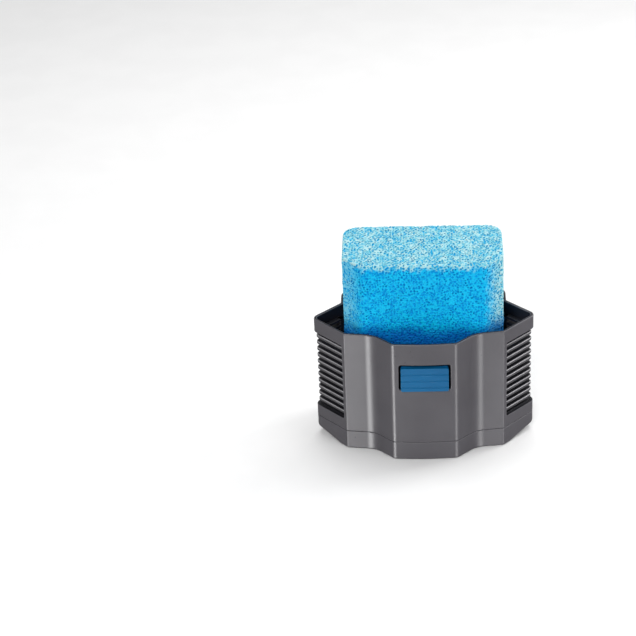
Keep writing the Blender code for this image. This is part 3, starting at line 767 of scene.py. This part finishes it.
@dataclass
class LouvrePanels:
    """The slats that wrap round each pod, with a border that laps behind the window."""

    slots: int = 12
    slat: float = 0.0019
    recess: float = 0.0012
    back: float = 0.0050
    lap: float = 0.0015
    low: float = 0.0195
    high: float = 0.0686
    front_trim: float = 0.0022
    rear_trim: float = 0.0045
    round_r: float = 0.0006
    lit_slope: float = 0.2

    def bar_section(self, outer: float, z0: float, z1: float, radius: float) -> list[tuple[float, float]]:
        """Return a bar's section as insets and heights, rounded on its outer side."""
        return (fillet(outer + radius, z0 + radius, radius, 270.0, 180.0)
                + fillet(outer + radius, z1 - radius, radius, 180.0, 90.0)
                + [(self.back, z1), (self.back, z0)])

    def add_bar(self, bm: bmesh.types.BMesh, section: list[tuple[float, float]], front_trim: float,
                rear_trim: float, front_y: float) -> None:
        """Add a bar that follows the right pod's walls.

        Args:
            bm: The bmesh to add to.
            section: Insets and heights of the bar's section.
            front_trim: Length left off beside the front corner.
            rear_trim: Length left off beside the waist.
            front_y: Y of the front line.
        """
        paths = [PLAN.pod_path(inset, front_trim, rear_trim) for inset, _ in section]
        loft(bm, [[Vector((path[k].x, path[k].y + front_y, z)) for path, (_, z) in zip(paths, section)]
                  for k in range(len(paths[0]))])

    def add_post(self, bm: bmesh.types.BMesh, front: bool, front_y: float) -> None:
        """Add the upright that joins the slats' ends behind the wall, at the front or the rear."""
        behind = PLAN.wall + PLAN.fit
        near, far = self.lap, -0.0008
        lines = []
        for trim in (near, far):
            front_trim = self.front_trim - (trim if front else 0.0)
            rear_trim = self.rear_trim - (0.0 if front else trim)
            end = 0 if front else -1
            lines.append([PLAN.pod_path(inset, front_trim, rear_trim)[end] for inset in (behind, self.back)])
        ring = lines[0] + lines[1][::-1]
        loft(bm, [plan_ring(ring, z, front_y) for z in (self.low - self.lap, self.high + self.lap)])

    def depth(self, place: Vector, front_y: float) -> float:
        """Return how far behind the right pod's outer faces a place is."""
        x, y = place.x, place.y - front_y
        half, deep = PLAN.width / 2, PLAN.pod_depth
        run = Vector((half - PLAN.front_width / 2, deep)).normalized()
        front = (y - deep) * run.x - (x - half) * run.y
        rear = ((half - x) + (deep - y)) * math.sqrt(0.5)
        return min(front, rear)

    def build(self, front_y: float) -> None:
        """Build both panels, dress them and hand them over."""
        bm = bmesh.new()
        slot = (self.high - self.low - (self.slots - 1) * self.slat) / self.slots
        touch = PLAN.fit / 3
        for k in range(self.slots - 1):
            z0 = self.low + slot + k * (slot + self.slat)
            self.add_bar(bm, self.bar_section(self.recess, z0, z0 + self.slat, self.round_r),
                         self.front_trim + touch, self.rear_trim + touch, front_y)
        behind = PLAN.wall + PLAN.fit
        front_lap, rear_lap = self.front_trim - self.lap, self.rear_trim - self.lap
        for z0, z1 in ((self.low - self.lap, self.low), (self.high, self.high + self.lap)):
            self.add_bar(bm, self.bar_section(behind, z0, z1, PLAN.fit), front_lap, rear_lap, front_y)
        self.add_post(bm, True, front_y)
        self.add_post(bm, False, front_y)
        bmesh.ops.recalc_face_normals(bm, faces=bm.faces)
        # Faces behind the nose take the near-black finish as painted shade in the gaps; upward faces of the
        # nose take the pale finish as a painted highlight.
        nose = self.recess + self.round_r * 1.5
        for face in bm.faces:
            behind_nose = self.depth(face.calc_center_median(), front_y) > nose
            face.material_index = 1 if behind_nose else 2 if face.normal.z > self.lit_slope else 0
        right = to_object(bm, "louvre_slats_right")
        for piece, side in ((right, "right"), (mirrored_copy(right, "louvre_slats_left"), "left")):
            dress(piece, SLAT_FINISH.build(), INNER_SHADE_FINISH.build(), NOSE_HIGHLIGHT_FINISH.build())
            hand_over(piece, f"louvre_panel_{side}", "module")


@dataclass
class BaseTray:
    """The shallow tray under the housing, with a lip inside it and an underside swept up at the pods."""

    height: float = 0.0120
    floor: float = 0.0022
    edge_r: float = 0.0016
    seam_r: float = 0.00030
    lip_outside: float = 0.0021
    lip_thick: float = 0.0012
    lip_top: float = 0.0155
    wing_start: float = 0.0491
    wing_rise: float = 0.0050
    soft_r: float = 0.00020

    def section(self) -> list[tuple[float, float]]:
        """Return the tray's section as insets and heights, from underneath round to the floor."""
        edge, seam = self.edge_r, self.seam_r
        inner = self.lip_outside + self.lip_thick
        return (fillet(edge, edge, edge, 270.0, 180.0, 5)
                + fillet(seam, self.height - seam, seam, 180.0, 90.0, 3)
                + [(self.lip_outside, self.height), (self.lip_outside, self.lip_top),
                   (inner, self.lip_top), (inner, self.floor)])

    def build(self, front_y: float) -> None:
        """Build the tray, dress it and hand it over."""
        bm = bmesh.new()
        outline = PLAN.outline()
        loft(bm, [plan_ring(outline.points(inset), z, front_y) for inset, z in self.section()])
        for side in (1.0, -1.0):
            bmesh.ops.bisect_plane(bm, geom=[*bm.verts, *bm.edges, *bm.faces], dist=1e-6,
                                   plane_co=(side * self.wing_start, 0.0, 0.0), plane_no=(side, 0.0, 0.0))
        slope = self.wing_rise / (PLAN.width / 2 - self.wing_start)
        for vert in bm.verts:
            out = abs(vert.co.x) - self.wing_start
            if out > 0 and vert.co.z < self.floor + 1e-5:
                vert.co.z += slope * out
        bmesh.ops.recalc_face_normals(bm, faces=bm.faces)
        tray = to_object(bm, "base_tray_moulding")
        soften(tray, self.soft_r)
        dress(tray, HOUSING_FINISH.build())
        hand_over(tray, "base_tray", "module")


@dataclass
class ReleaseButton:
    """The grooved button, proud of the bulge at its bottom edge and set back at its top edge."""

    width: float = 0.0273
    height: float = 0.0141
    drop: float = 0.0156
    proud: float = 0.0012
    lean: float = 0.0018
    back: float = 0.0042
    grooves: int = 3
    groove_first: float = 0.0024
    groove_pitch: float = 0.0039
    groove_width: float = 0.0010
    groove_depth: float = 0.0006
    groove_lead: float = 0.00025
    corner_r: float = 0.0010
    edge_r: float = 0.00030

    def front_section(self) -> list[tuple[float, float]]:
        """Return the front face from bottom to top, as depths behind its plane and heights."""
        half, lead, deep = self.groove_width / 2, self.groove_lead, self.groove_depth
        line = [(0.0, 0.0)]
        for k in range(self.grooves):
            z = self.groove_first + k * self.groove_pitch
            line += [(0.0, z - half - lead), (lead * 0.4, z - half), (deep, z - half * 0.55),
                     (deep, z + half * 0.55), (lead * 0.4, z + half), (0.0, z + half + lead)]
        return line + [(0.0, self.height)]

    def build(self, front_y: float, rim: float) -> None:
        """Build the button, dress it and hand it over."""
        bottom = rim - self.drop - self.height
        front = front_y - PLAN.bulge - self.proud
        back = front_y - PLAN.bulge + self.back
        ring = [Vector((0.0, front + self.lean * z / self.height + deep, bottom + z))
                for deep, z in self.front_section()]
        ring += [Vector((0.0, back, bottom + self.height)), Vector((0.0, back, bottom))]
        bm = bmesh.new()
        half = self.width / 2
        loft(bm, [[p + Vector((x, 0.0, 0.0)) for p in ring] for x in (-half, half)])
        tops = (bottom, bottom + self.height)
        corners = [e for e in bm.edges if abs(e.verts[0].co.x - e.verts[1].co.x) < 1e-6
                   and all(min(abs(v.co.z - t) for t in tops) < 1e-6 for v in e.verts)]
        bmesh.ops.bevel(bm, geom=corners, offset=self.corner_r, segments=5, profile=0.5, affect="EDGES",
                        material=-1)
        bmesh.ops.recalc_face_normals(bm, faces=bm.faces)
        button = to_object(bm, "release_button_moulding", 30.0)
        soften(button, self.edge_r, 3, 60.0)
        dress(button, BUTTON_FINISH.build())
        hand_over(button, "release_button", "latch")


@dataclass
class FilterFoam:
    """The block of open-cell foam: a skin of cut strands over a core, coloured darker with depth as painted
    shade.

    Its surface is taken from a field of distances, because a strand network has no simple operator.
    """

    chamfer: float = 0.0110
    front_r: float = 0.0015
    back_r: float = 0.0100
    edge_r: float = 0.0012
    pore: float = 0.00145
    strand: float = 0.00026
    skin: float = 0.0010
    voxel: float = 0.00042
    wave: float = 0.00022
    # Painted light on the two chamfer strips, stronger on the right.
    right_painted_light: float = 1.0
    left_painted_light: float = 0.4
    # Depth of the painted light across the top.
    painted_light_top: float = 0.0050
    # Height of the painted shade at the foot.
    shade_band: float = 0.021
    seed: int = 7

    def outline(self, low: Vector, high: Vector) -> np.ndarray:
        """Return the foam's plan outline between its lowest and highest corner."""
        half, inset = high.x, self.wave
        plan = RoundedOutline(both_sides([
            (half - self.chamfer, low.y, self.front_r),
            (half, low.y + self.chamfer, self.front_r),
            (half, high.y, self.back_r),
        ]), math.radians(12.0))
        return np.array([(p.x, p.y) for p in plan.points(inset)])

    def plan_distance(self, ring: np.ndarray, x: np.ndarray, y: np.ndarray) -> np.ndarray:
        """Return the signed distance from the plan outline, negative inside it."""
        inside = np.ones(x.shape, bool)
        for a, b in zip(ring, np.roll(ring, -1, axis=0)):
            inside &= (b - a)[0] * (y - a[1]) - (b - a)[1] * (x - a[0]) >= 0
        nearest = line_distance(ring, x, y)
        return np.where(inside, -nearest, nearest)

    def block_distance(self, side: np.ndarray, z: np.ndarray, low: float, high: float) -> np.ndarray:
        """Return the signed distance from the block, with its top and bottom edges rounded."""
        up = np.abs(z - (low + high) / 2) - (high - low) / 2 + self.wave
        a, b = side + self.edge_r, up + self.edge_r
        outside = np.hypot(np.maximum(a, 0.0), np.maximum(b, 0.0))
        return np.minimum(np.maximum(a, b), 0.0) + outside - self.edge_r

    def ripple(self, places: np.ndarray) -> np.ndarray:
        """Return the small waviness of the cut faces at some places."""
        x, y, z = (places[:, k] for k in range(3))
        return self.wave * (np.sin(510 * x + 330 * z) * np.sin(420 * y + 270 * z + 1.3) * 0.6
                            + np.sin(230 * x - 410 * z + 0.7) * 0.4)

    def strand_distance(self, places: np.ndarray) -> np.ndarray:
        """Return the distance from the strands that run where three pores meet."""
        rng = np.random.default_rng(self.seed)
        corner = places.min(axis=0) - 2 * self.pore
        size = np.ceil((places.max(axis=0) + 2 * self.pore - corner) / self.pore).astype(int) + 1
        centres = (0.5 + (rng.random((*size, 3)) - 0.5) * 0.85).astype(np.float32)
        base = ((places - corner) / self.pore).astype(np.float32)
        cell = np.floor(base).astype(np.int32)
        first, second, third = (np.full(len(places), 1e9, np.float32) for _ in range(3))
        for step in np.ndindex(3, 3, 3):
            near = cell + (np.array(step, np.int32) - 1)
            gap = centres[near[:, 0], near[:, 1], near[:, 2]] + near - base
            gap = (gap * gap).sum(axis=1)
            third = np.minimum(third, np.maximum(second, gap))
            second = np.minimum(second, np.maximum(first, gap))
            first = np.minimum(first, gap)
        return (np.sqrt(third) - np.sqrt(first)) * self.pore / 2 - self.strand

    def painted_light(self, points: np.ndarray, low: Vector, high: Vector) -> np.ndarray:
        """Return how much painted light pales each point: the top, its edges and the two cut corners."""
        x, y, z = (points[:, k] for k in range(3))
        speck = 0.0016 * (np.sin(900 * x + 700 * y) * np.sin(800 * z - 500 * x))
        top = ease(z + speck, high.z - self.painted_light_top, high.z - self.edge_r / 2)
        strip = ease(np.abs(x) + speck, high.x - self.chamfer - 0.001, high.x - 0.001)
        strip *= ease(z, low.z + 0.004, low.z + 0.026) * np.where(x > 0, self.right_painted_light,
                                                                   self.left_painted_light)
        return np.maximum(top, strip)

    def painted_foot_shade(self, points: np.ndarray, low: Vector) -> np.ndarray:
        """Return how much painted shade darkens each point, from the foot up to the top of the shaded band."""
        x, z = points[:, 0], points[:, 2]
        tide = 0.0015 * np.sin(95 * x + 0.6) + 0.0010 * np.sin(260 * x)
        return 1.0 - ease(z + tide, low.z + self.shade_band * 0.5, low.z + self.shade_band)

    def surface(self, low: Vector, high: Vector) -> tuple[np.ndarray, list, dict[str, np.ndarray]]:
        """Return the foam's points, its faces and the attributes of each point."""
        pad = 3 * self.voxel
        axes = [np.arange(low[k] - pad, high[k] + pad, self.voxel) for k in range(3)]
        ring = self.outline(low, high)
        plan = self.plan_distance(ring, *np.meshgrid(axes[0], axes[1], indexing="ij"))
        block = self.block_distance(plan[:, :, None], axes[2][None, None, :], low.z, high.z)
        near = np.nonzero((block > -self.skin - 2 * self.voxel) & (block < 2 * self.voxel))
        places = np.stack([axes[k][near[k]] for k in range(3)], axis=1)
        skin = block[near] + self.ripple(places)
        solid = np.maximum(skin, np.minimum(self.strand_distance(places), skin + self.skin))
        values = np.where(block < 0, -self.voxel, self.voxel).astype(np.float32)
        values[near] = solid
        grid = openvdb.FloatGrid(background=self.voxel)
        grid.copyFromArray(values)
        points, triangles, quads = grid.convertToPolygons(0.0, 0.0)
        points = points * self.voxel + np.array([axis[0] for axis in axes])
        side = self.plan_distance(ring, points[:, 0], points[:, 1])
        depth = -self.block_distance(side, points[:, 2], low.z, high.z) - self.ripple(points)
        lit_amount = self.painted_light(points, low, high)
        # Painted light pales the top and strips; painted shade darkens the foot, less where painted light
        # falls.
        marks = {"pore_depth": np.clip(depth / self.skin, 0.0, 1.0), "painted_light": lit_amount,
                 "painted_foot_shade": self.painted_foot_shade(points, low) * (1.0 - 0.7 * lit_amount)}
        return points, [*triangles.tolist(), *quads.tolist()], marks

    def build(self) -> None:
        """Build the foam, dress it and hand it over."""
        low, high = (Vector(c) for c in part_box("filter_foam"))
        points, faces, marks = self.surface(low, high)
        mesh = bpy.data.meshes.new("filter_foam_block")
        mesh.from_pydata(points.tolist(), [], [face[::-1] for face in faces])
        for name, values in marks.items():
            mesh.attributes.new(name, "FLOAT", "POINT").data.foreach_set("value", values.astype(np.float32))
        mesh.shade_smooth()
        mesh.update()
        foam = bpy.data.objects.new("filter_foam_block", mesh)
        bpy.context.scene.collection.objects.link(foam)
        dress(foam, FOAM_FINISH.build())
        hand_over(foam, "filter_foam", "foam")


class CarriedNode(Enum):
    """Nodes of the frame that keep their shape, each with the finish it gets."""

    # The grate, guides, lever and bracket take the near-black finish that paints the shade inside the housing.
    GRATE = ("foam_support_grate", INNER_SHADE_FINISH)
    GUIDE_FL = ("foam_guide_front_left", INNER_SHADE_FINISH)
    GUIDE_FR = ("foam_guide_front_right", INNER_SHADE_FINISH)
    GUIDE_RL = ("foam_guide_rear_left", INNER_SHADE_FINISH)
    GUIDE_RR = ("foam_guide_rear_right", INNER_SHADE_FINISH)
    CLIP_FL = ("tray_clip_front_left", HOUSING_FINISH)
    CLIP_FR = ("tray_clip_front_right", HOUSING_FINISH)
    CLIP_RL = ("tray_clip_rear_left", HOUSING_FINISH)
    CLIP_RR = ("tray_clip_rear_right", HOUSING_FINISH)
    LEVER = ("latch_lever", INNER_SHADE_FINISH)
    BRACKET = ("latch_bracket", INNER_SHADE_FINISH)
    PIN = ("latch_pin", STEEL_FINISH)
    SCREW_LEFT = ("bracket_screw_left", STEEL_FINISH)
    SCREW_RIGHT = ("bracket_screw_right", STEEL_FINISH)
    SPRING = ("latch_spring", STEEL_FINISH)


@dataclass
class InnerWorks:
    """The nodes carried over from the frame: grate, guides, clips and the latch's parts."""

    nodes: dict

    def dress_all(self) -> None:
        """Give each carried-over node its finish."""
        for kept in CarriedNode:
            name, look = kept.value
            node = self.nodes[name]
            for index in range(max(1, len(node.material_slots))):
                if index >= len(node.material_slots):
                    node.data.materials.append(look.build())
                node.material_slots[index].material = look.build()
            LOG.info("%s keeps its shape and takes %s", name, look.name)


@dataclass(frozen=True)
class SoftLight:
    """A soft rectangular light: where it stands, its width and height, and its power in watts."""

    name: str
    place: tuple[float, float, float]
    size: tuple[float, float]
    power: float
    sheen_only: bool = False


@dataclass
class Studio:
    """The pale floor, the soft lights and the camera."""

    floor_half: float = 3.0
    floor_colour: tuple[float, float, float] = (0.88, 0.88, 0.88)
    sky: float = 0.30
    distance: float = 1.2638
    elevation: float = math.radians(30.2)
    roll: float = math.radians(-0.96)
    lens: float = 126.1
    shift: tuple[float, float] = (-0.1666, 0.0237)
    aim: tuple[float, float, float] = (0.0, 0.0, 0.05)
    lights: tuple[SoftLight, ...] = (
        SoftLight("key_softbox", (-0.35, -1.05, 0.85), (0.7, 0.7), 10.5),
        SoftLight("rear_strip", (0.75, 0.35, 0.45), (0.3, 0.7), 4.0),
        SoftLight("top_softbox", (0.05, 0.35, 1.1), (0.9, 0.7), 8.0),
        SoftLight("low_left_strip", (-0.46, -0.65, -0.42), (0.26, 0.80), 7.5, True),
        SoftLight("low_right_strip", (0.46, -0.65, -0.42), (0.24, 0.80), 3.6, True),
        SoftLight("right_fill", (1.0, -0.60, 0.40), (0.5, 0.5), 3.5),
    )

    def add_floor(self) -> None:
        """Add the floor, unseen by glossy rays and casting no shadow."""
        bm = bmesh.new()
        bmesh.ops.create_grid(bm, x_segments=1, y_segments=1, size=self.floor_half)
        floor = to_object(bm, "studio_floor")
        made, tree, shader = fresh_material("pale_floor")
        speck = noise(tree, 30.0, 2.0)
        pale = tuple(c * 0.985 for c in self.floor_colour)
        tree.links.new(ramp(tree, speck.outputs["Fac"], [(0.4, pale), (0.6, self.floor_colour)]),
                       shader.inputs["Base Color"])
        shader.inputs["Roughness"].default_value = 0.8
        dress(floor, made)
        floor.visible_glossy = False
        floor.visible_shadow = False

    def add_light(self, light: SoftLight) -> None:
        """Add one soft light, aimed at the object's middle."""
        lamp = bpy.data.lights.new(light.name, "AREA")
        lamp.shape = "RECTANGLE"
        lamp.size, lamp.size_y = light.size
        lamp.energy = light.power
        made = bpy.data.objects.new(light.name, lamp)
        made.location = light.place
        made.visible_diffuse = not light.sheen_only
        made.rotation_euler = (Vector(self.aim) - Vector(light.place)).to_track_quat("-Z", "Y").to_euler()
        bpy.context.scene.collection.objects.link(made)

    def add_sky(self) -> None:
        """Set the even white surroundings."""
        world = bpy.data.worlds.new("studio_surround")
        world.use_nodes = True
        back = world.node_tree.nodes["Background"]
        back.inputs["Color"].default_value = (1.0, 1.0, 1.0, 1.0)
        back.inputs["Strength"].default_value = self.sky
        bpy.context.scene.world = world

    def add_camera(self, front_y: float, rim: float) -> None:
        """Add the camera, which looks down on the front."""
        target = Vector((0.0, front_y, rim))
        lens = bpy.data.cameras.new("studio_camera")
        lens.lens = self.lens
        lens.sensor_width = 36.0
        lens.shift_x, lens.shift_y = self.shift
        lens.clip_start, lens.clip_end = 0.01, 20.0
        camera = bpy.data.objects.new("studio_camera", lens)
        camera.location = target + self.distance * Vector((0.0, -math.cos(self.elevation),
                                                           math.sin(self.elevation)))
        look = (target - camera.location).to_track_quat("-Z", "Y").to_matrix().to_4x4()
        camera.rotation_euler = (look @ Matrix.Rotation(self.roll, 4, "Z")).to_euler()
        bpy.context.scene.collection.objects.link(camera)
        bpy.context.scene.camera = camera

    def build(self, front_y: float, rim: float) -> None:
        """Build the whole studio."""
        self.add_floor()
        self.add_sky()
        for light in self.lights:
            self.add_light(light)
        self.add_camera(front_y, rim)
        bpy.context.scene.view_settings.view_transform = "Standard"
        LOG.info("studio set")


def main() -> None:
    """Build every sub-assembly in order."""
    logging.basicConfig(level=logging.INFO, format="%(name)s: %(message)s")
    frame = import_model()
    shell_low, shell_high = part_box("housing_shell")
    front_y, rim = shell_high[1] - PLAN.rear, shell_high[2]
    Studio().build(front_y, rim)
    HousingShell().build(front_y)
    LouvrePanels().build(front_y)
    BaseTray().build(front_y)
    ReleaseButton().build(front_y, rim)
    FilterFoam().build()
    InnerWorks(frame["nodes"]).dress_all()


if __name__ == "__main__":
    main()
